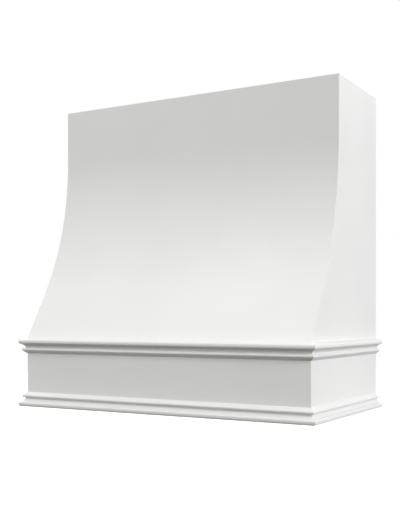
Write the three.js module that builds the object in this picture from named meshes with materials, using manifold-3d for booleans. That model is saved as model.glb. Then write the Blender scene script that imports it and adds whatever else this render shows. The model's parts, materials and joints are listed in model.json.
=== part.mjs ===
// Wall-hung wooden range hood cover: a painted wooden shell with a swept front and a plain
// apron between two mouldings, and the frame, ribs and cleats that carry it from inside.
// Units are millimetres. X runs along the wall, Y into the wall, Z up. The origin is on the
// centre line, in the wall plane, level with the bottom of the lower moulding.

import * as THREE from 'three';
import { mergeVertices } from 'three/addons/utils/BufferGeometryUtils.js';
import Module from 'manifold-3d';

const wasm = await Module();
wasm.setup();

// ---------------------------------------------------------------- driving dimensions

// Outer shell
const WIDTH = 914.4;
const HEIGHT = 914.4;
const TOP_DEPTH = 304.8;
const APRON_DEPTH = 495.3;
const APRON_HEIGHT = 203.2;
const SWEEP_RADIUS = 830;
const SWEEP_LEAN = THREE.MathUtils.degToRad(30.5);

// Stock
const BOARD = 19;
const SKIN = 9.5;
const RAIL_HEIGHT = 76;
const RIB_DEPTH = 60;
const SHELF_DEPTH = 64;
const CORNER_BLOCK = 38;
const GLUE_BLOCK = 22;

// Frame layout
const RIB_SPACING = 305;
const MIDDLE_RAIL_LEVEL = 430;
const DUCT_HOLE_RADIUS = 108;

// Insert cleats, which take the flange of the ventilation insert from below
const INSERT_RECESS = 20;
const INSERT_CLEAT_HEIGHT = 38;

// Hanging cleats, bevelled at 45 degrees where they hook together
const CLEAT_HEIGHT = 76;
const WALL_CLEAT_THICKNESS = 18;
const CLEAT_SIDE_PLAY = 10;
const WALL_HOLE_INSET = 31.7;
const WALL_HOLE_RADIUS = 3.5;

// Moulding section, as projections from the face and levels from the apron end to the lip
const TRIM_PROJECTION = 19;
const TRIM_HEIGHT = 42;
const HOLLOW_PROJECTION = 4.9;
const HOLLOW_LEVEL = 3.3;
const NOSE_PROJECTION = 9;
const NOSE_LEVEL = 7.4;
const BEAD_PROJECTION = 11.2;
const BEAD_LEVEL = 11.2;
const BEAD_TOP = 16.2;
const QUIRK_PROJECTION = 3.5;
const COVE_START = 16.9;
const COVE_TURN = 4.8;
const LIP_THICKNESS = 14;
const LIP_MIDDLE = 7.9;
const LIP_ROUND = 5.8;
const WASH_RISE = 3.2;

// Wood screws
const SCREW_LENGTH = 32;
const SCREW_RADIUS = 2.1;
const SCREW_HEAD_RADIUS = 4.2;
const SCREW_HEAD_DEPTH = 3.4;
const SCREW_TIP = 5;
const SCREW_SUNK = 0.4;
const SCREW_INSET = 60;

// Clearances
const GLUE_LINE = 0.1;
const FIT = 0.3;
const MITRE_GAP = 0.2;

// Facets
const SWEEP_STEPS = 24;
const TRIM_CURVE_STEPS = 4;
const DUCT_HOLE_SIDES = 40;
const WALL_HOLE_SIDES = 12;
const SCREW_SIDES = 8;

// ---------------------------------------------------------------- derived places

const HALF = WIDTH / 2;
const INNER_HALF = HALF - BOARD - GLUE_LINE;
const CLEAT_HALF = INNER_HALF - CLEAT_SIDE_PLAY;
const APRON_BACK = GLUE_LINE + BOARD - APRON_DEPTH;
const TOP_FRONT = GLUE_LINE + SKIN - TOP_DEPTH;
const SKIN_BACK = SKIN + FIT;
const NEXT_LAYER = BOARD + GLUE_LINE;
const PANEL_FOOT = APRON_HEIGHT + GLUE_LINE;
const TOP_UNDERSIDE = HEIGHT - BOARD;
const FRAME_TOP = TOP_UNDERSIDE - GLUE_LINE;
const RIB_TOP = FRAME_TOP - RAIL_HEIGHT - GLUE_LINE;
const CLEAT_TIP = FRAME_TOP - CLEAT_HEIGHT;
const SHELF_UNDERSIDE = APRON_HEIGHT - BOARD;
const INSERT_CLEAT_TOP = INSERT_RECESS + INSERT_CLEAT_HEIGHT;
const INSERT_CLEAT_MIDDLE = INSERT_RECESS + INSERT_CLEAT_HEIGHT / 2;
const CUT_LENGTH = 4 * BOARD;

// ---------------------------------------------------------------- finishes

function finish(color, roughness, metalness) {
  return new THREE.MeshStandardMaterial({ color, roughness, metalness });
}

const paint = () => finish('#eeeeec', 0.45, 0);
const plywood = () => finish('#d9bf95', 0.7, 0);
const poplar = () => finish('#cdbb8e', 0.7, 0);
const zinc = () => finish('#b9b8b0', 0.35, 1);

// ---------------------------------------------------------------- making pieces

function named(name, geometry, material) {
  const mesh = new THREE.Mesh(geometry, material);
  mesh.name = name;
  return mesh;
}

// A square-edged board between its low and its high corner, each [x, y, z].
function board(name, material, low, high) {
  const size = high.map((value, axis) => value - low[axis]);
  const mesh = named(name, new THREE.BoxGeometry(...size), material);
  mesh.position.set(...high.map((value, axis) => (value + low[axis]) / 2));
  return mesh;
}

// A prism on an outline of points in its local XY plane.
function prism(name, material, outline, length) {
  const shape = new THREE.Shape(outline.map((point) => new THREE.Vector2(...point)));
  const geometry = new THREE.ExtrudeGeometry(shape, { depth: length, bevelEnabled: false });
  return named(name, geometry, material);
}

// A piece sawn to an outline of [y, z] points, with its thickness along X.
function sawn(name, material, outline, left, right) {
  const mesh = prism(name, material, outline, right - left);
  mesh.rotation.set(Math.PI / 2, 0, Math.PI / 2, 'ZYX');
  mesh.position.x = left;
  return mesh;
}

// A mesh as a solid in the hood's own frame.
function solidOf(mesh) {
  mesh.updateMatrix();
  const geometry = mesh.geometry.clone().applyMatrix4(mesh.matrix);
  geometry.deleteAttribute('normal');
  geometry.deleteAttribute('uv');
  const merged = mergeVertices(geometry);
  return new wasm.Manifold(new wasm.Mesh({
    numProp: 3,
    vertProperties: merged.attributes.position.array,
    triVerts: Uint32Array.from(merged.index.array),
  }));
}

// Cuts tools out of a piece, which keeps its place. Both lie straight in the hood's frame.
function cut(piece, tools) {
  const start = solidOf(piece);
  const result = tools.reduce((solid, tool) => solid.subtract(solidOf(tool)), start).getMesh();
  const geometry = new THREE.BufferGeometry();
  geometry.setAttribute('position', new THREE.BufferAttribute(result.vertProperties, 3));
  geometry.setIndex(new THREE.BufferAttribute(result.triVerts, 1));
  geometry.applyMatrix4(piece.matrix.clone().invert());
  piece.geometry = geometry;
}

// ---------------------------------------------------------------- swept front

const SWEEP_BULGE = SWEEP_RADIUS * (1 - Math.cos(SWEEP_LEAN));
const FLARE_RISE = (APRON_DEPTH - TOP_DEPTH - SWEEP_BULGE) / Math.tan(SWEEP_LEAN);
const SWEEP_CENTRE_DEPTH = TOP_DEPTH + SWEEP_RADIUS;
const SWEEP_CENTRE_LEVEL = APRON_HEIGHT + FLARE_RISE + SWEEP_RADIUS * Math.sin(SWEEP_LEAN);

// How far the front stands from the wall at a level, once it is moved inwards by an inset.
function frontDepth(level, inset) {
  const radius = SWEEP_RADIUS + inset;
  const drop = SWEEP_CENTRE_LEVEL - level;
  if (drop <= 0) {
    return TOP_DEPTH - inset;
  }
  if (drop <= radius * Math.sin(SWEEP_LEAN)) {
    return SWEEP_CENTRE_DEPTH - Math.sqrt(radius * radius - drop * drop);
  }
  const flare = (level - APRON_HEIGHT) * Math.tan(SWEEP_LEAN);
  return APRON_DEPTH - flare - inset / Math.cos(SWEEP_LEAN);
}

// The front as [y, z] points from a foot to a top: a straight flare, an arc that brings it
// upright, and an upright stretch.
function sweep(inset, foot, top) {
  const levels = [foot];
  for (let step = 0; step <= SWEEP_STEPS; step++) {
    const angle = SWEEP_LEAN * (1 - step / SWEEP_STEPS);
    levels.push(SWEEP_CENTRE_LEVEL - (SWEEP_RADIUS + inset) * Math.sin(angle));
  }
  levels.push(top);
  const inside = levels.filter((level) => level >= foot && level <= top);
  return inside.map((level) => [-frontDepth(level, inset), level]);
}

// The bent sheet that makes the front. Its edges lie over the side panels.
function frontSkin() {
  const outer = sweep(0, PANEL_FOOT, HEIGHT);
  const inner = sweep(SKIN, PANEL_FOOT, HEIGHT).reverse();
  return sawn('curved_front_skin', paint(), [...outer, ...inner], -HALF, HALF);
}

// A side panel follows the sweep above the apron and stands behind the apron board below it.
function sidePanel(name, left) {
  const outline = [
    [0, 0],
    [APRON_BACK, 0],
    [APRON_BACK, PANEL_FOOT],
    ...sweep(SKIN_BACK, PANEL_FOOT, HEIGHT),
    [0, HEIGHT],
  ];
  return sawn(name, paint(), outline, left, left + BOARD);
}

// A rib holds the skin to its curve between the side panels.
function rib(name, centre) {
  const front = sweep(SKIN_BACK, PANEL_FOOT, RIB_TOP);
  const back = sweep(SKIN_BACK + RIB_DEPTH, PANEL_FOOT, RIB_TOP).reverse();
  return sawn(name, plywood(), [...front, ...back], centre - BOARD / 2, centre + BOARD / 2);
}

function shell() {
  return [
    frontSkin(),
    sidePanel('left_side_panel', -HALF),
    sidePanel('right_side_panel', HALF - BOARD),
    board('apron_front_board', paint(),
      [-HALF, -APRON_DEPTH, 0],
      [HALF, BOARD - APRON_DEPTH, APRON_HEIGHT]),
    board('top_panel', plywood(),
      [-INNER_HALF, TOP_FRONT, TOP_UNDERSIDE],
      [INNER_HALF, 0, HEIGHT]),
  ];
}

// ---------------------------------------------------------------- mouldings

// The section as [projection, level] points: a hollow out to the bead, a quirk, a cove, and a
// rounded lip that ends flat, or in a wash that rises back to the face.
function mouldingSection(washRise) {
  const noseTurn = NOSE_LEVEL + 0.3 * (BEAD_LEVEL - NOSE_LEVEL);
  const lipUnderside = TRIM_HEIGHT - LIP_THICKNESS;
  const lipMiddle = TRIM_HEIGHT - LIP_MIDDLE;
  const coveEnd = TRIM_PROJECTION - LIP_THICKNESS / 2;
  const path = new THREE.Path();
  path.moveTo(0, 0);
  path.quadraticCurveTo(HOLLOW_PROJECTION, HOLLOW_LEVEL, NOSE_PROJECTION, NOSE_LEVEL);
  path.quadraticCurveTo(BEAD_PROJECTION, noseTurn, BEAD_PROJECTION, BEAD_LEVEL);
  path.quadraticCurveTo(BEAD_PROJECTION, BEAD_TOP, QUIRK_PROJECTION, BEAD_TOP);
  path.lineTo(QUIRK_PROJECTION, COVE_START);
  path.quadraticCurveTo(QUIRK_PROJECTION, COVE_START + COVE_TURN, coveEnd, lipUnderside);
  path.quadraticCurveTo(TRIM_PROJECTION, lipUnderside, TRIM_PROJECTION, lipMiddle);
  path.quadraticCurveTo(TRIM_PROJECTION, TRIM_HEIGHT, TRIM_PROJECTION - LIP_ROUND, TRIM_HEIGHT);
  const outline = path.getPoints(TRIM_CURVE_STEPS).map((point) => [point.x, point.y]);
  return [...outline, [0, TRIM_HEIGHT + washRise]];
}

// A moulding on a face. Its ends are functions of projection, so they can be mitred. It runs
// along local Z, stands out along local X, and turns about the world's Z to its face.
function moulding(name, section, turn, startAt, endAt) {
  const mesh = prism(name, paint(), section, 1);
  const position = mesh.geometry.attributes.position;
  for (let index = 0; index < position.count; index++) {
    const end = position.getZ(index) === 0 ? startAt : endAt;
    position.setZ(index, end(position.getX(index)));
  }
  mesh.rotation.set(Math.PI / 2, 0, turn, 'ZYX');
  return mesh;
}

// Front and side mouldings, mitred together at the front corners and square at the wall.
function mouldings(prefix, section) {
  const atWall = () => 0;
  const frontCorner = (out) => HALF + out - MITRE_GAP;
  const sideCorner = (out) => APRON_DEPTH + out - MITRE_GAP;
  const negative = (end) => (out) => -end(out);
  const front = moulding(`${prefix}_front`, section, -Math.PI / 2, negative(frontCorner), frontCorner);
  const left = moulding(`${prefix}_left`, section, Math.PI, negative(sideCorner), atWall);
  const right = moulding(`${prefix}_right`, section, 0, atWall, sideCorner);
  front.position.y = -APRON_DEPTH - GLUE_LINE;
  left.position.x = -HALF - GLUE_LINE;
  right.position.x = HALF + GLUE_LINE;
  return [front, left, right];
}

// The lower moulding's lip is its foot. The upper one is the same section turned over, with
// a wash that ends where the skin meets the apron.
function trim() {
  const lower = mouldingSection(0).map(([out, level]) => [out, TRIM_HEIGHT - level]);
  const upperFoot = APRON_HEIGHT - WASH_RISE - TRIM_HEIGHT;
  const upper = mouldingSection(WASH_RISE).map(([out, level]) => [out, upperFoot + level]);
  return [...mouldings('upper_trim', upper), ...mouldings('lower_trim', lower)];
}

// ---------------------------------------------------------------- inner frame

// Rails that tie the side panels together, and the shelf that the skin and ribs stand over.
function rails() {
  return [
    board('top_front_rail', poplar(),
      [-INNER_HALF, TOP_FRONT, FRAME_TOP - RAIL_HEIGHT],
      [INNER_HALF, TOP_FRONT + BOARD, FRAME_TOP]),
    board('top_back_rail', poplar(),
      [-INNER_HALF, -NEXT_LAYER - BOARD, CLEAT_TIP],
      [INNER_HALF, -NEXT_LAYER, FRAME_TOP]),
    board('middle_back_rail', poplar(),
      [-INNER_HALF, -BOARD, MIDDLE_RAIL_LEVEL],
      [INNER_HALF, 0, MIDDLE_RAIL_LEVEL + RAIL_HEIGHT]),
    board('bottom_back_rail', poplar(),
      [-INNER_HALF, -BOARD, 0],
      [INNER_HALF, 0, RAIL_HEIGHT]),
    board('apron_shelf', plywood(),
      [-INNER_HALF, APRON_BACK, SHELF_UNDERSIDE],
      [INNER_HALF, APRON_BACK + SHELF_DEPTH, APRON_HEIGHT]),
  ];
}

function ribs() {
  return [rib('curved_rib_left', -RIB_SPACING / 2), rib('curved_rib_right', RIB_SPACING / 2)];
}

// A frame of cleats inside the bottom edge.
function insertCleats() {
  const frontFace = APRON_BACK + BOARD;
  const backFace = -NEXT_LAYER - BOARD;
  const sideFace = INNER_HALF - BOARD;
  const cleat = (name, left, front, right, back) => board(name, poplar(),
    [left, front, INSERT_RECESS],
    [right, back, INSERT_CLEAT_TOP]);
  return [
    cleat('insert_cleat_front', -INNER_HALF, APRON_BACK, INNER_HALF, frontFace),
    cleat('insert_cleat_back', -INNER_HALF, backFace, INNER_HALF, -NEXT_LAYER),
    cleat('insert_cleat_left', -INNER_HALF, frontFace + GLUE_LINE, -sideFace, backFace - GLUE_LINE),
    cleat('insert_cleat_right', sideFace, frontFace + GLUE_LINE, INNER_HALF, backFace - GLUE_LINE),
  ];
}

// A three-cornered block glued upright into a front corner of the apron.
function cornerBlock(name, side) {
  const foot = INSERT_CLEAT_TOP + GLUE_LINE;
  const corner = side * INNER_HALF;
  const outline = [
    [corner, APRON_BACK],
    [corner, APRON_BACK + CORNER_BLOCK],
    [corner - side * CORNER_BLOCK, APRON_BACK],
  ];
  const mesh = prism(name, poplar(), outline, SHELF_UNDERSIDE - GLUE_LINE - foot);
  mesh.position.z = foot;
  return mesh;
}

// A three-cornered block glued under the top panel, along a side panel.
function topBlock(name, side) {
  const front = TOP_FRONT + NEXT_LAYER;
  const back = -2 * NEXT_LAYER;
  const outline = [
    [side * INNER_HALF, FRAME_TOP],
    [side * (INNER_HALF - GLUE_BLOCK), FRAME_TOP],
    [side * INNER_HALF, FRAME_TOP - GLUE_BLOCK],
  ];
  const mesh = prism(name, poplar(), outline, back - front);
  mesh.rotation.x = Math.PI / 2;
  mesh.position.y = back;
  return mesh;
}

function blocks() {
  return [
    cornerBlock('apron_corner_block_left', -1),
    cornerBlock('apron_corner_block_right', 1),
    topBlock('top_glue_block_left', -1),
    topBlock('top_glue_block_right', 1),
  ];
}

// ---------------------------------------------------------------- hanging cleats

// The hood's cleat hooks down behind the wall's cleat. Both slope at 45 degrees.
function hangingCleat() {
  const outline = [
    [0, CLEAT_TIP],
    [0, FRAME_TOP],
    [-BOARD, FRAME_TOP],
    [-BOARD, CLEAT_TIP + BOARD],
  ];
  return sawn('hanging_cleat', poplar(), outline, -INNER_HALF, INNER_HALF);
}

function wallCleat() {
  const backTop = CLEAT_TIP - FIT * Math.SQRT2;
  const frontTop = backTop + WALL_CLEAT_THICKNESS;
  const bottom = frontTop - CLEAT_HEIGHT;
  const outline = [
    [0, bottom],
    [0, backTop],
    [-WALL_CLEAT_THICKNESS, frontTop],
    [-WALL_CLEAT_THICKNESS, bottom],
  ];
  const cleat = sawn('wall_cleat', poplar(), outline, -CLEAT_HALF, CLEAT_HALF);
  cut(cleat, wallHoles((bottom + backTop) / 2));
  return cleat;
}

// Clearance holes for the installer's screws: one in the middle, and two a stud away from it.
function wallHoles(level) {
  const stud = INNER_HALF - WALL_HOLE_INSET;
  return [-stud, 0, stud].map((x) => {
    const geometry = new THREE.CylinderGeometry(
      WALL_HOLE_RADIUS, WALL_HOLE_RADIUS, CUT_LENGTH, WALL_HOLE_SIDES);
    const hole = new THREE.Mesh(geometry);
    hole.position.set(x, 0, level);
    return hole;
  });
}

// ---------------------------------------------------------------- wood screws

// A countersunk screw that points along local -Y from the middle of its head's face.
function screwGeometry(grow, rise) {
  const profile = [
    [0, -SCREW_LENGTH - grow],
    [SCREW_RADIUS + grow, SCREW_TIP - SCREW_LENGTH - grow],
    [SCREW_RADIUS + grow, -SCREW_HEAD_DEPTH - grow],
    [SCREW_HEAD_RADIUS + grow, 0],
    [SCREW_HEAD_RADIUS + grow, rise],
    [0, rise],
  ];
  const points = profile.map((point) => new THREE.Vector2(...point));
  return new THREE.LatheGeometry(points, SCREW_SIDES);
}

const ALONG = {
  left: new THREE.Vector3(-1, 0, 0),
  right: new THREE.Vector3(1, 0, 0),
  out: new THREE.Vector3(0, -1, 0),
  in: new THREE.Vector3(0, 1, 0),
  down: new THREE.Vector3(0, 0, -1),
  up: new THREE.Vector3(0, 0, 1),
};

// Drives a screw from a point on a piece's face, and bores its hole through the pieces.
function drive(name, face, direction, pieces) {
  const screw = named(name, screwGeometry(0, SCREW_SUNK / 2), zinc());
  const local = new THREE.Vector3(0, -1, 0);
  screw.quaternion.setFromUnitVectors(local, direction);
  screw.position.set(...face).addScaledVector(direction, SCREW_SUNK);
  const hole = new THREE.Mesh(screwGeometry(FIT, 2 * SCREW_SUNK));
  hole.position.copy(screw.position);
  hole.quaternion.copy(screw.quaternion);
  pieces.forEach((piece) => cut(piece, [hole]));
  return screw;
}

// Drives a row of screws, numbered from 1, at a list of faces.
function driveRow(prefix, faces, direction, pieces) {
  return faces.map((face, index) => drive(`${prefix}_${index + 1}`, face, direction, pieces));
}

// Every screw of the hood, by the pieces that it joins.
function screws(piece) {
  const farX = INNER_HALF - SCREW_INSET;
  const acrossFour = [-farX, -farX / 3, farX / 3, farX];
  const acrossThree = [-farX, 0, farX];
  const cleatLevel = (CLEAT_TIP + BOARD + FRAME_TOP) / 2;
  const frontCleatFace = APRON_BACK + BOARD;
  const backCleatFace = -NEXT_LAYER - BOARD;
  const sideCleatFace = INNER_HALF - BOARD;
  const sideYs = [frontCleatFace + SCREW_INSET, backCleatFace - SCREW_INSET];
  const atCleat = (x, y) => [x, y, INSERT_CLEAT_MIDDLE];
  const ribYs = [APRON_BACK + SHELF_DEPTH / 4, APRON_BACK + SHELF_DEPTH * 3 / 4];
  const underShelf = (x) => ribYs.map((y) => [x, y, SHELF_UNDERSIDE]);
  return [
    ...driveRow('hanging_cleat_screw', acrossFour.map((x) => [x, backCleatFace, cleatLevel]),
      ALONG.in, [piece.top_back_rail, piece.hanging_cleat]),
    ...driveRow('top_front_screw', acrossFour.map((x) => [x, TOP_FRONT + BOARD / 2, HEIGHT]),
      ALONG.down, [piece.top_panel, piece.top_front_rail]),
    ...driveRow('top_back_screw', acrossFour.map((x) => [x, -NEXT_LAYER - BOARD / 2, HEIGHT]),
      ALONG.down, [piece.top_panel, piece.top_back_rail]),
    ...driveRow('front_cleat_screw', acrossThree.map((x) => atCleat(x, frontCleatFace)),
      ALONG.out, [piece.insert_cleat_front, piece.apron_front_board]),
    ...driveRow('back_cleat_screw', acrossThree.map((x) => atCleat(x, backCleatFace)),
      ALONG.in, [piece.insert_cleat_back, piece.bottom_back_rail]),
    ...driveRow('left_cleat_screw', sideYs.map((y) => atCleat(-sideCleatFace, y)),
      ALONG.left, [piece.insert_cleat_left, piece.left_side_panel]),
    ...driveRow('right_cleat_screw', sideYs.map((y) => atCleat(sideCleatFace, y)),
      ALONG.right, [piece.insert_cleat_right, piece.right_side_panel]),
    ...driveRow('left_rib_screw', underShelf(-RIB_SPACING / 2),
      ALONG.up, [piece.apron_shelf, piece.curved_rib_left]),
    ...driveRow('right_rib_screw', underShelf(RIB_SPACING / 2),
      ALONG.up, [piece.apron_shelf, piece.curved_rib_right]),
  ];
}

// ---------------------------------------------------------------- assembly

// The round hole in the top panel that the exhaust duct passes through.
function ductHole() {
  const geometry = new THREE.CylinderGeometry(
    DUCT_HOLE_RADIUS, DUCT_HOLE_RADIUS, CUT_LENGTH, DUCT_HOLE_SIDES);
  const hole = new THREE.Mesh(geometry);
  hole.rotation.x = Math.PI / 2;
  hole.position.set(0, -TOP_DEPTH / 2, HEIGHT - BOARD / 2);
  return hole;
}

// Everything that hangs on the wall cleat.
function hood() {
  const frame = [...rails(), ...ribs(), ...insertCleats(), ...blocks(), hangingCleat()];
  const pieces = [...shell(), ...trim(), ...frame];
  const piece = Object.fromEntries(pieces.map((mesh) => [mesh.name, mesh]));
  cut(piece.top_panel, [ductHole()]);
  cut(piece.bottom_back_rail, wallHoles((INSERT_CLEAT_TOP + RAIL_HEIGHT) / 2));
  const group = new THREE.Group();
  group.add(...pieces, ...screws(piece));
  return group;
}

const rangeHoodCover = new THREE.Group();
rangeHoodCover.add(wallCleat(), hood());

export default rangeHoodCover;
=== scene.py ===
import json
import logging
import math
from dataclasses import dataclass
from enum import Enum
from typing import Callable, Sequence

import bmesh
import bpy
from mathutils import Matrix, Vector

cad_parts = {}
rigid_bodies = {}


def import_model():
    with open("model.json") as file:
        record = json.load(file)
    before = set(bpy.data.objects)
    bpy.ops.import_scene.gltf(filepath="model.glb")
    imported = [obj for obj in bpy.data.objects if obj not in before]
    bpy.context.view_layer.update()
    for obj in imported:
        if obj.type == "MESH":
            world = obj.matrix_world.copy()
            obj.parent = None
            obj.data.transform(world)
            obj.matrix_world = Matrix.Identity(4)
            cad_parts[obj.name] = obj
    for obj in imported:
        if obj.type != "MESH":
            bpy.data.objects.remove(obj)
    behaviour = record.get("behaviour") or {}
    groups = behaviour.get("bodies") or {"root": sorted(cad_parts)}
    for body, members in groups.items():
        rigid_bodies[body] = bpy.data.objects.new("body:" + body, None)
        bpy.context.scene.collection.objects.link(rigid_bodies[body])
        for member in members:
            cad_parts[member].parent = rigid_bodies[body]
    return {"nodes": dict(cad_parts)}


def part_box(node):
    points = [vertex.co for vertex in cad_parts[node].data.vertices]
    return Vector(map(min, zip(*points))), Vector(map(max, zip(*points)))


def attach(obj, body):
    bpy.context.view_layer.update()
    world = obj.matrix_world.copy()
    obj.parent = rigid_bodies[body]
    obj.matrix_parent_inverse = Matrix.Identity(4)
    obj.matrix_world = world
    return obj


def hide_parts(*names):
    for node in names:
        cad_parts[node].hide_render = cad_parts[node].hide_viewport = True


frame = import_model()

log = logging.getLogger("range_hood_cover")

MM = 0.001

# Places nearer than TINY count as one place, and points nearer than WELD are merged.
TINY = 0.05 * MM
WELD = MM / 1000

# A direction runs along an axis if its part on it is over ALONG, and faces it if over FACING.
ALONG = 0.9
FACING = 0.5

# The attribute that holds a board's place in the tree, and how far apart boards lie there.
BOARD = "board"
BOARD_STEP = (0.37, 0.61, 0.83)

# The colour sockets of a Mix node, whose names its other sockets have too.
MIX_SHARE = 0
MIX_FIRST = 6
MIX_SECOND = 7
MIX_RESULT = 2

# The rays that see a surface. The others only carry light to the hood.
SEEING_RAYS = ("Is Camera Ray", "Is Glossy Ray", "Is Transmission Ray")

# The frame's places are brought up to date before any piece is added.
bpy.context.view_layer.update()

Tree = bpy.types.NodeTree
Node = bpy.types.Node
Socket = bpy.types.NodeSocket
Piece = bpy.types.Object
Inputs = dict[int | str, object]
Test = Callable[[Vector, Vector], bool]
Stops = Sequence[tuple[float, str]]
Size = tuple[float, float]
Point = tuple[float, float]


class Body(Enum):
    """The bodies that pieces ride on."""

    WALL = "wall"
    HOOD = "hood"


class Slot(Enum):
    """The record's material slots."""

    PAINT = "white_paint"
    PLYWOOD = "plywood"
    POPLAR = "poplar"
    SCREW = "zinc_screw"


class Axis(Enum):
    """The three axes of the frame, by their place in a vector."""

    X = 0
    Y = 1
    Z = 2


# ---------------------------------------------------------------- materials

def linear(code: str) -> tuple[float, float, float, float]:
    """Turns an sRGB hex colour into linear light.

    Args:
        code: The colour, such as "#eeeeec".

    Returns:
        Red, green, blue and an alpha of 1.
    """
    channels = [int(code[place:place + 2], 16) / 255 for place in (1, 3, 5)]
    lit = [c / 12.92 if c <= 0.04045 else ((c + 0.055) / 1.055) ** 2.4 for c in channels]
    return (*lit, 1.0)


def add(tree: Tree, kind: str, inputs: Inputs | None = None, **settings: object) -> Node:
    """Adds a node with its settings, values and links.

    Args:
        tree: The material's or the world's node tree.
        kind: The node's type.
        inputs: Its sockets by name or number, each with a value or the socket that feeds it.
        **settings: The node's own properties. "stops" are a ramp's places and sRGB hex colours.

    Returns:
        The node.
    """
    node = tree.nodes.new(kind)
    for number, (place, code) in enumerate(settings.pop("stops", ())):
        elements = node.color_ramp.elements
        element = elements[number] if number < len(elements) else elements.new(place)
        element.position = place
        element.color = linear(code)
    for name, value in settings.items():
        setattr(node, name, value)
    for socket, value in (inputs or {}).items():
        if isinstance(value, Socket):
            tree.links.new(value, node.inputs[socket])
        else:
            node.inputs[socket].default_value = value
    return node


def seeing(tree: Tree) -> Socket:
    """Tells the rays that see a surface from those that only carry light.

    Args:
        tree: The node tree of a material or the world.

    Returns:
        A socket that is 1 for the rays that see, and 0 for the others.
    """
    rays = add(tree, "ShaderNodeLightPath")
    seen = rays.outputs[SEEING_RAYS[0]]
    for name in SEEING_RAYS[1:]:
        either = add(tree, "ShaderNodeMath", {0: seen, 1: rays.outputs[name]}, operation="MAXIMUM")
        seen = either.outputs[0]
    return seen


@dataclass(frozen=True)
class Finish:
    """What every finish has: a name, and a shader on object coordinates."""

    name: str
    roughness: float
    ior: float

    def material(self) -> bpy.types.Material:
        """Makes the material, or finds it if it is already made.

        Returns:
            The material.
        """
        made = bpy.data.materials.get(self.name)
        if made:
            return made
        made = bpy.data.materials.new(self.name)
        made.use_nodes = True
        tree = made.node_tree
        tree.nodes.clear()
        place = add(tree, "ShaderNodeTexCoord")
        shader = add(tree, "ShaderNodeBsdfPrincipled", {"Roughness": self.roughness, "IOR": self.ior})
        add(tree, "ShaderNodeOutputMaterial", {"Surface": shader.outputs["BSDF"]})
        self.dress(tree, place, shader)
        return made

    def dress(self, tree: Tree, place: Node, shader: Node) -> None:
        """Gives the shader its colour and relief. Each finish has its own."""


@dataclass(frozen=True)
class SprayedPaint(Finish):
    """Satin white lacquer, sprayed over primed and sanded wood.

    The eye sees an even white with a soft sheen, and close up the slight orange peel of a
    sprayed film.
    """

    name: str = "satin_white_lacquer"
    roughness: float = 0.42
    ior: float = 1.46
    tones: Stops = ((0.3, "#dedede"), (0.6, "#e0e0e0"))
    cloud_size: float = 180 * MM
    peel_size: float = 2.4 * MM
    peel_depth: float = 0.02 * MM

    def dress(self, tree: Tree, place: Node, shader: Node) -> None:
        """Adds a slow drift of tone, and the orange peel.

        Args:
            tree: The material's node tree.
            place: The texture coordinates.
            shader: The shader that gets them.
        """
        here = place.outputs["Object"]
        cloud = add(tree, "ShaderNodeTexNoise", {
            "Vector": here, "Scale": 1 / self.cloud_size, "Detail": 2.0})
        tone = add(tree, "ShaderNodeValToRGB", {0: cloud.outputs["Fac"]}, stops=self.tones)
        tree.links.new(tone.outputs["Color"], shader.inputs["Base Color"])
        peel = add(tree, "ShaderNodeTexNoise", {
            "Vector": here, "Scale": 1 / self.peel_size, "Detail": 1.0})
        relief = add(tree, "ShaderNodeBump", {
            "Distance": self.peel_depth, "Height": peel.outputs["Fac"]})
        tree.links.new(relief.outputs["Normal"], shader.inputs["Normal"])


@dataclass(frozen=True)
class BareWood(Finish):
    """What the bare woods share: a broad figure and fine fibres, which run along the board.

    Their sizes are those across the grain and along it, in metres.
    """

    grain: Axis
    figure_size: Size
    figure_swirl: float
    figure: Stops
    fibre_size: Size
    fibre_depth: float
    fibres: Stops
    fibre_share: float = 0.35

    def along_grain(self, tree: Tree, place: Node, size: Size, detail: float, swirl: float) -> Socket:
        """Adds a pattern that is drawn out along the grain.

        Args:
            tree: The material's node tree.
            place: The texture coordinates.
            size: The pattern's size across the grain and along it, in metres.
            detail: How many finer layers it has.
            swirl: How much it is distorted.

        Returns:
            The pattern's height, which differs from board to board.
        """
        scale = [1 / size[0]] * 3
        scale[self.grain.value] = 1 / size[1]
        board = add(tree, "ShaderNodeAttribute", attribute_name=BOARD)
        shifted = add(tree, "ShaderNodeVectorMath", {
            0: place.outputs["Object"], 1: board.outputs["Vector"]}, operation="ADD")
        drawn = add(tree, "ShaderNodeMapping", {"Vector": shifted.outputs["Vector"], "Scale": scale})
        pattern = add(tree, "ShaderNodeTexNoise", {
            "Vector": drawn.outputs["Vector"], "Scale": 1.0, "Detail": detail, "Distortion": swirl})
        return pattern.outputs["Fac"]

    def face_grain(self, tree: Tree, place: Node, shader: Node) -> Socket:
        """Adds the figure, and the fibres in colour and relief.

        Args:
            tree: The material's node tree.
            place: The texture coordinates.
            shader: The shader that gets the relief.

        Returns:
            The wood's colour.
        """
        broad = self.along_grain(tree, place, self.figure_size, 3.0, self.figure_swirl)
        fine = self.along_grain(tree, place, self.fibre_size, 2.0, 0.0)
        body = add(tree, "ShaderNodeValToRGB", {0: broad}, stops=self.figure)
        lines = add(tree, "ShaderNodeValToRGB", {0: fine}, stops=self.fibres)
        both = add(tree, "ShaderNodeMix", {
            MIX_SHARE: self.fibre_share, MIX_FIRST: body.outputs[0], MIX_SECOND: lines.outputs[0],
        }, data_type="RGBA", blend_type="MULTIPLY")
        relief = add(tree, "ShaderNodeBump", {"Distance": self.fibre_depth, "Height": fine})
        tree.links.new(relief.outputs["Normal"], shader.inputs["Normal"])
        return both.outputs[MIX_RESULT]


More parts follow.
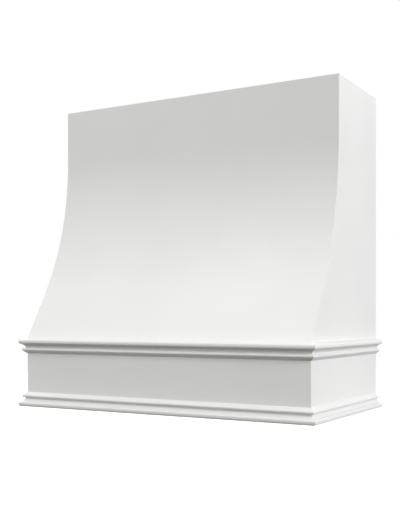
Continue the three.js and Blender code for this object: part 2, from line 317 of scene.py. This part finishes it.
@dataclass(frozen=True)
class BirchPlywood(BareWood):
    """Birch plywood, sanded and left bare.

    Its faces show rotary-cut grain that runs one way; its sawn edges show the plies as
    light and dark lines. A 19 mm sheet has 13 plies, which are too fine to see from here, so
    5 are drawn, and ply_blur is how softly they meet. A surface is a face where the normal's
    part on the thickness is over face_part, and a sawn edge where it is under edge_part.
    """

    name: str = "sanded_birch_plywood"
    roughness: float = 0.62
    ior: float = 1.5
    grain: Axis = Axis.Z
    figure_size: Size = (11 * MM, 300 * MM)
    figure_swirl: float = 0.8
    figure: Stops = ((0.3, "#c9ab7f"), (0.5, "#d8c19a"), (0.7, "#e2d0b0"))
    fibre_size: Size = (0.9 * MM, 30 * MM)
    fibre_depth: float = 0.05 * MM
    fibres: Stops = ((0.3, "#d2bc98"), (0.7, "#ffffff"))
    thickness: Axis = Axis.X
    ply: float = 3.81 * MM
    ply_blur: float = 0.4
    layers: Stops = ((0.0, "#a98253"), (1.0, "#dcc39a"))
    face_part: float = 0.8
    edge_part: float = 0.4

    def dress(self, tree: Tree, place: Node, shader: Node) -> None:
        """Adds the face grain, and the plies on every sawn edge.

        Args:
            tree: The material's node tree.
            place: The texture coordinates.
            shader: The shader that gets them.
        """
        face = self.face_grain(tree, place, shader)
        apart = add(tree, "ShaderNodeSeparateXYZ", {"Vector": place.outputs["Object"]})
        count = add(tree, "ShaderNodeMath", {
            0: apart.outputs[self.thickness.value], 1: math.pi / self.ply}, operation="MULTIPLY")
        wave = add(tree, "ShaderNodeMath", {0: count.outputs[0]}, operation="SINE")
        half = add(tree, "ShaderNodeMapRange", {
            "Value": wave.outputs[0], "From Min": -self.ply_blur, "From Max": self.ply_blur})
        plies = add(tree, "ShaderNodeValToRGB", {0: half.outputs["Result"]}, stops=self.layers)
        facing = add(tree, "ShaderNodeSeparateXYZ", {"Vector": place.outputs["Normal"]})
        part = add(tree, "ShaderNodeMath", {
            0: facing.outputs[self.thickness.value]}, operation="ABSOLUTE")
        sawn = add(tree, "ShaderNodeMapRange", {
            "Value": part.outputs[0], "From Min": self.face_part, "From Max": self.edge_part})
        both = add(tree, "ShaderNodeMix", {
            MIX_SHARE: sawn.outputs["Result"], MIX_FIRST: face, MIX_SECOND: plies.outputs[0],
        }, data_type="RGBA")
        tree.links.new(both.outputs[MIX_RESULT], shader.inputs["Base Color"])


@dataclass(frozen=True)
class PlanedPoplar(BareWood):
    """Poplar, planed and left bare.

    The eye sees a pale, slightly green-yellow wood with soft straight grain and a few darker
    streaks.
    """

    name: str = "planed_poplar"
    roughness: float = 0.6
    ior: float = 1.5
    grain: Axis = Axis.X
    figure_size: Size = (16 * MM, 480 * MM)
    figure_swirl: float = 0.5
    figure: Stops = ((0.28, "#bdb087"), (0.45, "#d8cba2"), (0.7, "#e6dcb9"))
    fibre_size: Size = (1.1 * MM, 45 * MM)
    fibre_depth: float = 0.04 * MM
    fibres: Stops = ((0.3, "#d6caa4"), (0.7, "#ffffff"))

    def dress(self, tree: Tree, place: Node, shader: Node) -> None:
        """Adds the soft streaks and the fibres."""
        tree.links.new(self.face_grain(tree, place, shader), shader.inputs["Base Color"])


@dataclass(frozen=True)
class PlatedSteel(Finish):
    """Steel screws with bright zinc plating.

    The eye sees a pale grey metal with a slightly blotchy tone.
    """

    name: str = "bright_zinc_plate"
    roughness: float = 0.32
    ior: float = 1.5
    tones: Stops = ((0.3, "#a9aaa6"), (0.65, "#c2c3bf"))
    blotch_size: float = 1.5 * MM

    def dress(self, tree: Tree, place: Node, shader: Node) -> None:
        """Adds the plating's colour and blotches.

        Args:
            tree: The material's node tree.
            place: The texture coordinates.
            shader: The shader that gets them.
        """
        shader.inputs["Metallic"].default_value = 1.0
        blotch = add(tree, "ShaderNodeTexNoise", {
            "Vector": place.outputs["Object"], "Scale": 1 / self.blotch_size})
        tone = add(tree, "ShaderNodeValToRGB", {0: blotch.outputs["Fac"]}, stops=self.tones)
        tree.links.new(tone.outputs["Color"], shader.inputs["Base Color"])


PAINT = SprayedPaint()
POPLAR_ALONG = PlanedPoplar()
POPLAR_DEEP = PlanedPoplar(name="planed_poplar_front_to_back", grain=Axis.Y)
POPLAR_UPRIGHT = PlanedPoplar(name="planed_poplar_upright", grain=Axis.Z)
SIDE_PLYWOOD = BirchPlywood()
FLAT_PLYWOOD = BirchPlywood(name="sanded_birch_plywood_flat", thickness=Axis.Z, grain=Axis.X)
FRONT_PLYWOOD = BirchPlywood(name="sanded_birch_plywood_front", thickness=Axis.Y, grain=Axis.X)
PLATE = PlatedSteel()


# ---------------------------------------------------------------- modelling by hand

def enter(piece: Piece) -> None:
    """Selects one piece alone and opens it in edit mode with nothing selected.

    Args:
        piece: The piece, in object mode.
    """
    bpy.ops.object.select_all(action="DESELECT")
    piece.select_set(True)
    bpy.context.view_layer.objects.active = piece
    bpy.ops.object.mode_set(mode="EDIT")
    bpy.ops.mesh.select_all(action="DESELECT")


def leave() -> None:
    """Closes edit mode."""
    bpy.ops.object.mode_set(mode="OBJECT")


def adopt(name: str) -> Piece:
    """Applies the place of the primitive that was just added, and names it.

    Args:
        name: The name of the object and its mesh.

    Returns:
        The object.
    """
    piece = bpy.context.object
    bpy.ops.object.transform_apply(location=True, rotation=True, scale=True)
    piece.name = name
    piece.data.name = name
    return piece


def pick(piece: Piece, kind: str, test: Test) -> int:
    """Selects faces or edges of the piece in edit mode, and nothing else.

    Args:
        piece: The piece in edit mode.
        kind: FACE or EDGE.
        test: What is picked, by its middle, and by a face's normal or an edge's direction.

    Returns:
        How many were picked.
    """
    bpy.ops.mesh.select_mode(type=kind)
    bpy.ops.mesh.select_all(action="DESELECT")
    shape = bmesh.from_edit_mesh(piece.data)
    found = 0
    for part in shape.faces if kind == "FACE" else shape.edges:
        if kind == "FACE":
            middle, way = part.calc_center_median(), part.normal
        else:
            first, last = (corner.co for corner in part.verts)
            middle, way = (first + last) / 2, (last - first).normalized()
        if test(middle, way):
            part.select_set(True)
            found += 1
    bmesh.update_edit_mesh(piece.data)
    return found


def start_block(name: str, low: Sequence[float], high: Sequence[float]) -> Piece:
    """Adds a cube primitive between two corners and opens it in edit mode.

    Args:
        name: The piece's name.
        low: Its lowest corner.
        high: Its highest corner.

    Returns:
        The piece, at the origin with its place in its mesh.
    """
    middle = [(a + b) / 2 for a, b in zip(low, high)]
    size = [b - a for a, b in zip(low, high)]
    bpy.ops.object.select_all(action="DESELECT")
    bpy.ops.mesh.primitive_cube_add(size=1, location=middle, scale=size)
    piece = adopt(name)
    enter(piece)
    return piece


def start_outline(name: str, points: Sequence[Vector]) -> Piece:
    """Draws a closed outline as one face and leaves it selected in edit mode.

    A plane primitive is merged to one point, which is then extruded from point to point.

    Args:
        name: The piece's name.
        points: The outline, not closed.

    Returns:
        The piece, open in edit mode.
    """
    bpy.ops.object.select_all(action="DESELECT")
    bpy.ops.mesh.primitive_plane_add(size=MM, location=points[0])
    piece = adopt(name)
    enter(piece)
    bpy.ops.mesh.select_mode(type="VERT")
    bpy.ops.mesh.select_all(action="SELECT")
    bpy.ops.mesh.merge(type="CENTER")
    for here, there in zip(points, [*points[1:], points[0]]):
        extrude(there - here)
    weld()
    bpy.ops.mesh.edge_face_add()
    return piece


def extrude(way: Sequence[float]) -> None:
    """Extrudes what is selected along a vector."""
    bpy.ops.mesh.extrude_region_move(TRANSFORM_OT_translate={"value": way})


def weld() -> None:
    """Selects everything and merges points that lie on each other."""
    bpy.ops.mesh.select_all(action="SELECT")
    bpy.ops.mesh.remove_doubles(threshold=WELD)


def slice_at(point: Sequence[float], normal: Sequence[float], drop: bool) -> None:
    """Cuts the whole piece by a plane.

    Args:
        point: A point of the plane.
        normal: The plane's normal.
        drop: Whether what lies on the normal's side is dropped and the cut is closed.
    """
    bpy.ops.mesh.select_all(action="SELECT")
    bpy.ops.mesh.bisect(
        plane_co=point, plane_no=normal, use_fill=drop, clear_outer=drop, threshold=WELD)


def ease(piece: Piece, radius: float, test: Test, segments: int = 3) -> None:
    """Rounds the picked edges, as sanding does.

    Args:
        piece: The piece in edit mode.
        radius: How far the rounding reaches from the edge, in metres.
        test: Which edges, by middle and direction.
        segments: How many faces it has.
    """
    if pick(piece, "EDGE", test):
        bpy.ops.mesh.bevel(
            offset=radius, segments=segments, profile=0.5, affect="EDGES", clamp_overlap=True)


def close_up(piece: Piece, smooth_angle: float = 32.0) -> None:
    """Turns the faces outwards, leaves edit mode and shades the piece.

    Args:
        piece: The piece in edit mode.
        smooth_angle: Faces that meet at less than this, in degrees, are shaded as one.
    """
    bpy.ops.mesh.select_mode(type="FACE")
    bpy.ops.mesh.select_all(action="SELECT")
    bpy.ops.mesh.normals_make_consistent(inside=False)
    leave()
    bpy.ops.object.shade_smooth_by_angle(angle=math.radians(smooth_angle))


def dress(piece: Piece, finish: Finish, bare: Finish | None = None, test: Test | None = None) -> None:
    """Gives a piece its finish, and a second one where a test picks faces.

    Args:
        piece: The finished piece, in object mode.
        finish: The finish of the whole piece.
        bare: The finish of the picked faces.
        test: Which faces get it, by middle and normal.
    """
    piece.data.materials.clear()
    piece.data.materials.append(finish.material())
    if bare and test:
        piece.data.materials.append(bare.material())
        enter(piece)
        pick(piece, "FACE", test)
        piece.active_material_index = 1
        bpy.ops.object.material_slot_assign()
        leave()


def number_board(piece: Piece) -> None:
    """Stores which place in the tree a board was sawn from, so that no two share their grain.

    Args:
        piece: The finished piece.
    """
    number = len(bpy.data.objects)
    shift = piece.data.attributes.new(BOARD, "FLOAT_VECTOR", "POINT")
    shift.data.foreach_set("vector", [step * number for step in BOARD_STEP] * len(shift.data))


def seat(piece: Piece, node: str, body: Body = Body.HOOD) -> None:
    """Puts a finished piece in the frame, in the place of a node.

    Args:
        piece: The finished piece.
        node: The node that it stands for.
        body: The body that it rides on.
    """
    number_board(piece)
    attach(piece, body.value)
    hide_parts(node)
    log.info("%s stands for %s, %d faces", piece.name, node, len(piece.data.polygons))


# ---------------------------------------------------------------- swept shell

@dataclass
class SweptShell:
    """The painted shell: a bent front sheet, two side panels and the apron board.

    The sheet is upright at the top, then turns through an arc into a straight flare that
    ends on the apron board. Its outer size comes from the frame.
    """

    radius: float = 830 * MM
    lean: float = math.radians(30.5)
    skin: float = 9.5 * MM
    corner: float = 2.0 * MM
    arris: float = 0.8 * MM
    arc_steps: int = 72

    def __post_init__(self) -> None:
        """Reads the shell's outer size from the frame."""
        low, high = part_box("curved_front_skin")
        board_low, board_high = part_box("apron_front_board")
        self.half = high.x
        self.top = high.z
        self.foot = low.z
        self.top_depth = self.skin - high.y
        self.apron_depth = -board_low.y
        self.apron_back = board_high.y
        self.apron_height = board_high.z
        bulge = self.radius * (1 - math.cos(self.lean))
        flare = (self.apron_depth - self.top_depth - bulge) / math.tan(self.lean)
        self.centre_depth = self.top_depth + self.radius
        self.centre_level = self.apron_height + flare + self.radius * math.sin(self.lean)

    def depth(self, level: float, inset: float) -> float:
        """How far the front stands from the wall.

        Args:
            level: The height above the bottom edge.
            inset: How far the surface is moved inwards from the painted face.

        Returns:
            The distance in metres.
        """
        radius = self.radius + inset
        drop = self.centre_level - level
        if drop <= 0:
            return self.top_depth - inset
        if drop <= radius * math.sin(self.lean):
            return self.centre_depth - math.sqrt(radius * radius - drop * drop)
        flare = (level - self.apron_height) * math.tan(self.lean)
        return self.apron_depth - flare - inset / math.cos(self.lean)

    def front_skin(self) -> Piece:
        """Models the bent sheet: an upright block, spun through the arc and drawn down the flare.

        Returns:
            The sheet.
        """
        low = (-self.half, -self.top_depth, self.centre_level)
        high = (self.half, self.skin - self.top_depth, self.top)
        piece = start_block("front_sheet_painted", low, high)
        pick(piece, "FACE", lambda middle, way: way.z < -ALONG)
        centre = (0, -self.centre_depth, self.centre_level)
        bpy.ops.mesh.spin(steps=self.arc_steps, angle=self.lean, center=centre, axis=(1, 0, 0))
        reach = self.apron_height / math.cos(self.lean)
        extrude((0, -reach * math.sin(self.lean), -reach * math.cos(self.lean)))
        slice_at((0, 0, self.foot), (0, 0, -1), drop=True)
        ease(piece, self.corner, self.is_front_corner)
        close_up(piece)
        dress(piece, PAINT, FRONT_PLYWOOD, lambda middle, way: way.y > FACING)
        return piece

    def is_front_corner(self, middle: Vector, way: Vector) -> bool:
        """Picks the long outer corners, which run down the sweep on both sides.

        Args:
            middle: The edge's middle.
            way: Its direction.

        Returns:
            Whether it lies on the painted face, at a side, and runs down.
        """
        at_side = abs(abs(middle.x) - self.half) < TINY
        at_face = abs(middle.y + self.depth(middle.z, 0)) < self.skin / 4
        return at_side and at_face and abs(way.z) > FACING

    def side_panel(self, node: str) -> Piece:
        """Models a side panel, drawn down from its top along the sweep.

        Args:
            node: The node that it stands for, which gives its side and thickness.

        Returns:
            The panel.
        """
        low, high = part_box(node)
        turns = [self.lean * step / self.arc_steps for step in range(self.arc_steps + 1)]
        levels = [self.centre_level - (self.radius + self.skin) * math.sin(turn) for turn in turns]
        levels.append(self.foot)
        start = (low.x, -self.depth(high.z, self.skin), levels[0])
        piece = start_block(f"{node}_painted", start, (high.x, 0, high.z))
        for above, below in zip(levels, levels[1:]):
            pick(piece, "FACE", lambda middle, way, at=above: self.is_underside(middle, way, at))
            extrude((0, 0, below - above))
            pick(piece, "EDGE", lambda middle, way, at=below: self.is_front_edge(middle, way, at))
            shift = self.depth(above, self.skin) - self.depth(below, self.skin)
            bpy.ops.transform.translate(value=(0, shift, 0))
        slice_at((0, self.apron_back, 0), (0, 1, 0), drop=False)
        pick(piece, "FACE", lambda middle, way: (
            self.is_underside(middle, way, self.foot) and middle.y > self.apron_back))
        extrude((0, 0, -self.foot))
        outside = math.copysign(self.half, low.x)
        ease(piece, self.arris, lambda middle, way: self.is_outer_arris(middle, way, outside), 2)
        close_up(piece)
        dress(piece, PAINT, SIDE_PLYWOOD, lambda middle, way: way.x * outside < 0 or way.y > ALONG)
        return piece

    def is_underside(self, middle: Vector, way: Vector, level: float) -> bool:
        """Picks the face that closes the panel from below at a level."""
        return way.z < -FACING and abs(middle.z - level) < TINY

    def is_front_edge(self, middle: Vector, way: Vector, level: float) -> bool:
        """Picks the front edge of the face that was just drawn down to a level."""
        return abs(middle.z - level) < TINY and abs(way.x) > ALONG and middle.y < -self.skin

    def is_outer_arris(self, middle: Vector, way: Vector, outside: float) -> bool:
        """Picks the panel's outer edges at the wall and at the top.

        Args:
            middle: The edge's middle.
            way: Its direction.
            outside: Where the panel's outer face lies.

        Returns:
            Whether it is one of them.
        """
        at_wall = abs(middle.y) < TINY and abs(way.z) > ALONG
        at_top = abs(middle.z - self.top) < TINY and abs(way.y) > ALONG
        return abs(middle.x - outside) < TINY and (at_wall or at_top)

    def apron_board(self) -> Piece:
        """Models the apron board: a block with eased front corners, bare at the back and the top.

        Returns:
            The board.
        """
        low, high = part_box("apron_front_board")
        piece = start_block("apron_board_painted", (low.x, low.y, 0), (high.x, high.y, self.foot))
        ease(piece, self.corner, lambda middle, way: (
            abs(way.z) > ALONG and abs(middle.y - low.y) < TINY))
        close_up(piece)
        dress(piece, PAINT, FRONT_PLYWOOD, lambda middle, way: way.y > FACING or way.z > FACING)
        return piece

    def build(self) -> None:
        """Builds and seats the shell."""
        seat(self.front_skin(), "curved_front_skin")
        seat(self.apron_board(), "apron_front_board")
        for node in ("left_side_panel", "right_side_panel"):
            seat(self.side_panel(node), node)


# ---------------------------------------------------------------- mouldings

@dataclass
class Moulding:
    """The moulding section, the same above and below the apron.

    Projections are measured from the face, and levels from the apron end to the lip. A shallow
    hollow leads out to a bead, which a quirk divides from the cove under the lip. nose_share is
    how far up from the nose to the bead the nose's round turns.
    """

    projection: float = 19.0 * MM
    height: float = 42.0 * MM
    hollow_projection: float = 4.9 * MM
    hollow_level: float = 3.3 * MM
    nose_projection: float = 9.0 * MM
    nose_level: float = 7.4 * MM
    nose_share: float = 0.3
    bead_projection: float = 11.2 * MM
    bead_level: float = 11.2 * MM
    bead_top: float = 16.2 * MM
    quirk_projection: float = 3.5 * MM
    cove_start: float = 16.9 * MM
    cove_turn: float = 4.8 * MM
    lip_thickness: float = 14.0 * MM
    lip_middle: float = 7.9 * MM
    lip_round: float = 5.8 * MM
    wash_rise: float = 3.2 * MM
    back_ease: float = 0.6 * MM
    arc_steps: int = 12

    def curve(self, start: Point, turn: Point, end: Point) -> list[Point]:
        """Points along a round stretch, after its start.

        Args:
            start: Where it starts, as projection and level.
            turn: The point that it bends towards.
            end: Where it ends.

        Returns:
            The points, the last of which is the end.
        """
        points = []
        for step in range(1, self.arc_steps + 1):
            t = step / self.arc_steps
            points.append(tuple(
                (1 - t) ** 2 * a + 2 * t * (1 - t) * b + t * t * c
                for a, b, c in zip(start, turn, end)))
        return points

    def section(self, wash: float) -> list[Point]:
        """The section from the face out over the bead, the cove and the lip, and back.

        Args:
            wash: How far the top rises from the lip back to the face.

        Returns:
            The points, each a projection and a level.
        """
        under = self.height - self.lip_thickness
        lip_foot = self.projection - self.lip_thickness / 2
        nose_turn = self.nose_level + self.nose_share * (self.bead_level - self.nose_level)
        cove_turn = self.cove_start + self.cove_turn
        stretches = [
            ((self.hollow_projection, self.hollow_level), (self.nose_projection, self.nose_level)),
            ((self.bead_projection, nose_turn), (self.bead_projection, self.bead_level)),
            ((self.bead_projection, self.bead_top), (self.quirk_projection, self.bead_top)),
            ((self.quirk_projection, self.cove_start), (self.quirk_projection, self.cove_start)),
            ((self.quirk_projection, cove_turn), (lip_foot, under)),
            ((self.projection, under), (self.projection, self.height - self.lip_middle)),
            ((self.projection, self.height), (self.projection - self.lip_round, self.height)),
        ]
        points = [(0.0, 0.0)]
        for turn, end in stretches:
            points += [end] if turn == end else self.curve(points[-1], turn, end)
        back = self.height + wash
        if wash:
            slope = wash / (self.projection - self.lip_round)
            points.append((self.back_ease, back - self.back_ease * slope))
            back -= self.back_ease
        points.append((0.0, back))
        return points


@dataclass
class Mouldings:
    """The two runs of moulding, each mitred round the front and square at the wall."""

    moulding: Moulding
    shell: SweptShell
    smooth_angle: float = 40.0

    def piece(
        self, node: str, out: Vector, along: Vector, face: float, level: float, rise: int, wash: float
    ) -> Piece:
        """Models one length of moulding.

        Args:
            node: The node that it stands for.
            out: The way that it projects.
            along: The way that it runs.
            face: How far its back lies from the centre line or the wall.
            level: The height of its apron end.
            rise: 1 where the section is upright, -1 where it is turned over.
            wash: How far its top rises back to the face.

        Returns:
            The length, mitred where it meets the next one.
        """
        low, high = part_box(node)
        middle = (low + high) / 2
        reach = (high - low).dot(along)
        start = out * face - along * (reach / 2 - middle.dot(along))
        points = [start + out * projection + Vector((0, 0, level + rise * at))
                  for projection, at in self.moulding.section(wash)]
        piece = start_outline(f"{node}_painted", points)
        extrude(along * reach)
        for side in (1, -1):
            corner = (side * self.shell.half, -self.shell.apron_depth, 0)
            if abs(out.y) > FACING:
                slice_at(corner, (side, 1, 0), drop=True)
            elif out.x * side > 0:
                slice_at(corner, (-side, -1, 0), drop=True)
        close_up(piece, self.smooth_angle)
        dress(piece, PAINT)
        return piece

    def build(self) -> None:
        """Builds and seats all six lengths."""
        height = self.moulding.height
        wash = self.moulding.wash_rise
        upper_level = self.shell.apron_height - wash - height
        runs = {"upper_trim": (upper_level, 1, wash), "lower_trim": (height, -1, 0.0)}
        for prefix, (level, rise, slope) in runs.items():
            for side, out, along, face in (
                ("front", Vector((0, -1, 0)), Vector((1, 0, 0)), self.shell.apron_depth),
                ("left", Vector((-1, 0, 0)), Vector((0, 1, 0)), self.shell.half),
                ("right", Vector((1, 0, 0)), Vector((0, 1, 0)), self.shell.half),
            ):
                node = f"{prefix}_{side}"
                seat(self.piece(node, out, along, face, level, rise, slope), node)


# ---------------------------------------------------------------- inner frame

@dataclass
class InnerFrame:
    """The boards, ribs and blocks inside, which keep the frame's shapes and holes.

    Each is a merged copy of its node with its edges broken by sandpaper. Its triangles are
    joined where they meet at less than flat, and edges sharper than sharp are rounded and
    shaded as edges, both in degrees.
    """

    arris: float = 0.7 * MM
    flat: float = 0.5
    sharp: float = 35.0

    def boards(self) -> dict[str, tuple[Finish, Slot]]:
        """Every inner piece, by the way that its grain runs.

        Returns:
            Each node's finish and slot.
        """
        along = {name: (POPLAR_ALONG, Slot.POPLAR) for name in (
            "top_front_rail", "top_back_rail", "middle_back_rail", "bottom_back_rail",
            "insert_cleat_front", "insert_cleat_back", "hanging_cleat", "wall_cleat")}
        deep = {name: (POPLAR_DEEP, Slot.POPLAR) for name in (
            "insert_cleat_left", "insert_cleat_right", "top_glue_block_left", "top_glue_block_right")}
        upright = {name: (POPLAR_UPRIGHT, Slot.POPLAR) for name in (
            "apron_corner_block_left", "apron_corner_block_right")}
        ribs = {name: (SIDE_PLYWOOD, Slot.PLYWOOD) for name in ("curved_rib_left", "curved_rib_right")}
        level = {name: (FLAT_PLYWOOD, Slot.PLYWOOD) for name in ("top_panel", "apron_shelf")}
        return along | deep | upright | ribs | level

    def eased(self, node: str) -> Piece:
        """Copies a node, joins its loose triangles into flat faces and rounds its edges.

        Args:
            node: The node's name.

        Returns:
            The copy.
        """
        mesh = frame["nodes"][node].data.copy()
        piece = bpy.data.objects.new(f"{node}_sanded", mesh)
        bpy.context.scene.collection.objects.link(piece)
        enter(piece)
        weld()
        bpy.ops.mesh.dissolve_limited(angle_limit=math.radians(self.flat))
        leave()
        rounding = piece.modifiers.new("arris", "BEVEL")
        rounding.width = self.arris
        rounding.segments = 2
        rounding.limit_method = "ANGLE"
        rounding.angle_limit = math.radians(self.sharp)
        bpy.ops.object.modifier_apply(modifier=rounding.name)
        bpy.ops.object.shade_smooth_by_angle(angle=math.radians(self.sharp))
        return piece

    def build(self) -> None:
        """Builds and seats every inner piece."""
        for node, (finish, slot) in self.boards().items():
            piece = self.eased(node)
            dress(piece, finish)
            seat(piece, node, Body.WALL if node == "wall_cleat" else Body.HOOD)


# ---------------------------------------------------------------- screws

@dataclass
class WoodScrew:
    """A countersunk wood screw with a cross recess, modelled once and copied.

    The recess is slot_taper times as wide and long at its bottom as at its top.
    """

    length: float = 32 * MM
    radius: float = 2.1 * MM
    head_radius: float = 4.2 * MM
    head_depth: float = 3.4 * MM
    tip: float = 5 * MM
    rise: float = 0.2 * MM
    turns: int = 24
    smooth_angle: float = 30.0
    slot_length: float = 4.4 * MM
    slot_width: float = 1.1 * MM
    slot_depth: float = 2.0 * MM
    slot_taper: float = 0.45

    def pattern(self) -> Piece:
        """Models the screw by spinning half of its outline.

        Returns:
            The screw, with its head up and the rim of its head at the origin's level.
        """
        outline = [
            (0, -self.length), (self.radius, self.tip - self.length), (self.radius, -self.head_depth),
            (self.head_radius, 0), (self.head_radius, self.rise), (0, self.rise),
        ]
        piece = start_outline("wood_screw_pattern", [Vector((x, 0, z)) for x, z in outline])
        bpy.ops.mesh.delete(type="ONLY_FACE")
        bpy.ops.mesh.select_mode(type="EDGE")
        pick(piece, "EDGE", lambda middle, way: abs(middle.x) < TINY)
        bpy.ops.mesh.delete(type="EDGE")
        bpy.ops.mesh.select_all(action="SELECT")
        bpy.ops.mesh.spin(steps=self.turns, angle=math.tau, center=(0, 0, 0), axis=(0, 0, 1))
        weld()
        close_up(piece, self.smooth_angle)
        self.recess(piece)
        return piece

    def recess(self, screw: Piece) -> None:
        """Sinks a tapered cross into the head.

        Args:
            screw: The screw, in object mode.
        """
        arms = ((self.slot_width, self.slot_length), (self.slot_length, self.slot_width))
        for number, (width, depth) in enumerate(arms):
            low = (-width / 2, -depth / 2, self.rise - self.slot_depth)
            high = (width / 2, depth / 2, 2 * self.rise)
            arm = start_block(f"recess_arm_{number}", low, high)
            pick(arm, "FACE", lambda middle, way: way.z < -ALONG)
            taper = (self.slot_taper, self.slot_taper, 1)
            bpy.ops.transform.resize(value=taper, center_override=(0, 0, low[2]))
            close_up(arm)
            bpy.ops.object.select_all(action="DESELECT")
            screw.select_set(True)
            bpy.context.view_layer.objects.active = screw
            cut = screw.modifiers.new("recess", "BOOLEAN")
            cut.object = arm
            cut.solver = "EXACT"
            bpy.ops.object.modifier_apply(modifier=cut.name)
            bpy.data.objects.remove(arm)


@dataclass
class Screws:
    """Every screw of the hood, by the way that its row is driven."""

    screw: WoodScrew

    def rows(self) -> dict[str, Vector]:
        """Every row of screws.

        Returns:
            Each row's name, and the way its screws point.
        """
        return {
            "hanging_cleat_screw": Vector((0, 1, 0)),
            "top_front_screw": Vector((0, 0, -1)),
            "top_back_screw": Vector((0, 0, -1)),
            "front_cleat_screw": Vector((0, -1, 0)),
            "back_cleat_screw": Vector((0, 1, 0)),
            "left_cleat_screw": Vector((-1, 0, 0)),
            "right_cleat_screw": Vector((1, 0, 0)),
            "left_rib_screw": Vector((0, 0, 1)),
            "right_rib_screw": Vector((0, 0, 1)),
        }

    def build(self) -> None:
        """Copies the screw into the place of each node, and deletes the pattern."""
        pattern = self.screw.pattern()
        for row, way in self.rows().items():
            upright = (-way).to_track_quat("Z", "Y").to_matrix().to_4x4()
            for node in sorted(name for name in frame["nodes"] if name.startswith(row)):
                low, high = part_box(node)
                middle, size = (low + high) / 2, high - low
                reach = abs(size.dot(way)) / 2
                head = middle - way * (reach - self.screw.rise)
                mesh = pattern.data.copy()
                mesh.transform(Matrix.Translation(head) @ upright)
                piece = bpy.data.objects.new(f"{node}_plated", mesh)
                bpy.context.scene.collection.objects.link(piece)
                dress(piece, PLATE)
                seat(piece, node)
        bpy.data.objects.remove(pattern)


# ---------------------------------------------------------------- studio

@dataclass(frozen=True)
class Lamp:
    """A distant soft lamp.

    Its azimuth runs from the front towards the viewer's right and its elevation up from the
    floor, in degrees. Its spread is how wide it looks from the object. It is a sun, so the
    distance that it hangs at, in metres, doesn't change its light.
    """

    name: str
    azimuth: float
    elevation: float
    strength: float
    spread: float = 60.0
    tint: str = "#ffffff"
    distance: float = 4.0

    def hang(self) -> None:
        """Adds the lamp to the scene."""
        data = bpy.data.lights.new(self.name, "SUN")
        data.energy = self.strength
        data.angle = math.radians(self.spread)
        data.color = linear(self.tint)[:3]
        turn, lift = math.radians(self.azimuth), math.radians(self.elevation)
        out = math.cos(lift)
        back = Vector((math.sin(turn) * out, -math.cos(turn) * out, math.sin(lift)))
        lamp = bpy.data.objects.new(self.name, data)
        lamp.rotation_euler = back.to_track_quat("Z", "Y").to_euler()
        lamp.location = back * self.distance
        bpy.context.scene.collection.objects.link(lamp)


@dataclass
class Studio:
    """A plain pale studio: floor, soft lamps, and the camera at the photograph's angle."""

    frame_height: float = 532.0
    sensor: float = 36.0
    focal_pixels: float = 860.0
    horizon_pixel: float = 316.8
    camera_place: tuple[float, float, float] = (1.2825, -2.469, 0.2668)
    camera_turn: float = math.radians(30.05)
    floor_drop: float = 0.76
    floor_radius: float = 14.0
    floor_corners: int = 96
    floor_colour: str = "#ffffff"
    bounce: str = "#303028"
    fill: float = 0.625
    fill_tint: str = "#fffff6"
    lamps: tuple[Lamp, ...] = (
        Lamp("front_high", -20, 50, 0.70, 30, "#fbfbff"),
        Lamp("front_low", -20, 15, 0.32),
        Lamp("left", -60, 38, 0.89, tint="#fbfbff"),
        Lamp("right", 100, 20, 2.44, tint="#fbfbff"),
        Lamp("back", 215, 8, 1.25, 30),
    )

    def camera(self) -> None:
        """Adds the camera. It looks level, so its shift puts the horizon where it belongs."""
        data = bpy.data.cameras.new("camera")
        data.sensor_width = self.sensor
        data.lens = self.focal_pixels * self.sensor / self.frame_height
        data.shift_y = (self.horizon_pixel - self.frame_height / 2) / self.frame_height
        view = bpy.data.objects.new("camera", data)
        view.location = self.camera_place
        view.rotation_euler = (math.pi / 2, 0, self.camera_turn)
        bpy.context.scene.collection.objects.link(view)
        bpy.context.scene.camera = view

    def floor(self) -> None:
        """Adds the floor below the hanging hood. It looks white but throws little light up."""
        bpy.ops.object.select_all(action="DESELECT")
        bpy.ops.mesh.primitive_circle_add(
            vertices=self.floor_corners, radius=self.floor_radius, fill_type="NGON",
            location=(0, 0, -self.floor_drop))
        floor = adopt("floor")
        made = bpy.data.materials.new("matt_white_floor")
        made.use_nodes = True
        tree = made.node_tree
        tree.nodes.clear()
        lit = add(tree, "ShaderNodeBsdfDiffuse", {"Color": linear(self.floor_colour)})
        dim = add(tree, "ShaderNodeBsdfDiffuse", {"Color": linear(self.bounce)})
        both = add(tree, "ShaderNodeMixShader", {0: seeing(tree), 1: dim.outputs[0], 2: lit.outputs[0]})
        add(tree, "ShaderNodeOutputMaterial", {"Surface": both.outputs[0]})
        floor.data.materials.append(made)

    def world(self) -> None:
        """Makes a white surround for what sees it, and soft even light for the rest."""
        world = bpy.data.worlds.new("studio")
        bpy.context.scene.world = world
        world.use_nodes = True
        tree = world.node_tree
        tree.nodes.clear()
        white = add(tree, "ShaderNodeBackground", {"Color": (1, 1, 1, 1), "Strength": 1.0})
        fill = add(tree, "ShaderNodeBackground", {
            "Color": linear(self.fill_tint), "Strength": self.fill})
        both = add(tree, "ShaderNodeMixShader", {
            0: seeing(tree), 1: fill.outputs[0], 2: white.outputs[0]})
        add(tree, "ShaderNodeOutputWorld", {"Surface": both.outputs[0]})

    def build(self) -> None:
        """Builds the studio."""
        bpy.context.scene.view_settings.view_transform = "Standard"
        self.camera()
        self.floor()
        self.world()
        for lamp in self.lamps:
            lamp.hang()


# ---------------------------------------------------------------- main


def main() -> None:
    """Builds the hood cover and the studio in order."""
    logging.basicConfig(level=logging.INFO, format="%(message)s")
    Studio().build()
    shell = SweptShell()
    shell.build()
    Mouldings(Moulding(), shell).build()
    InnerFrame().build()
    Screws(WoodScrew()).build()


if __name__ == "__main__":
    main()
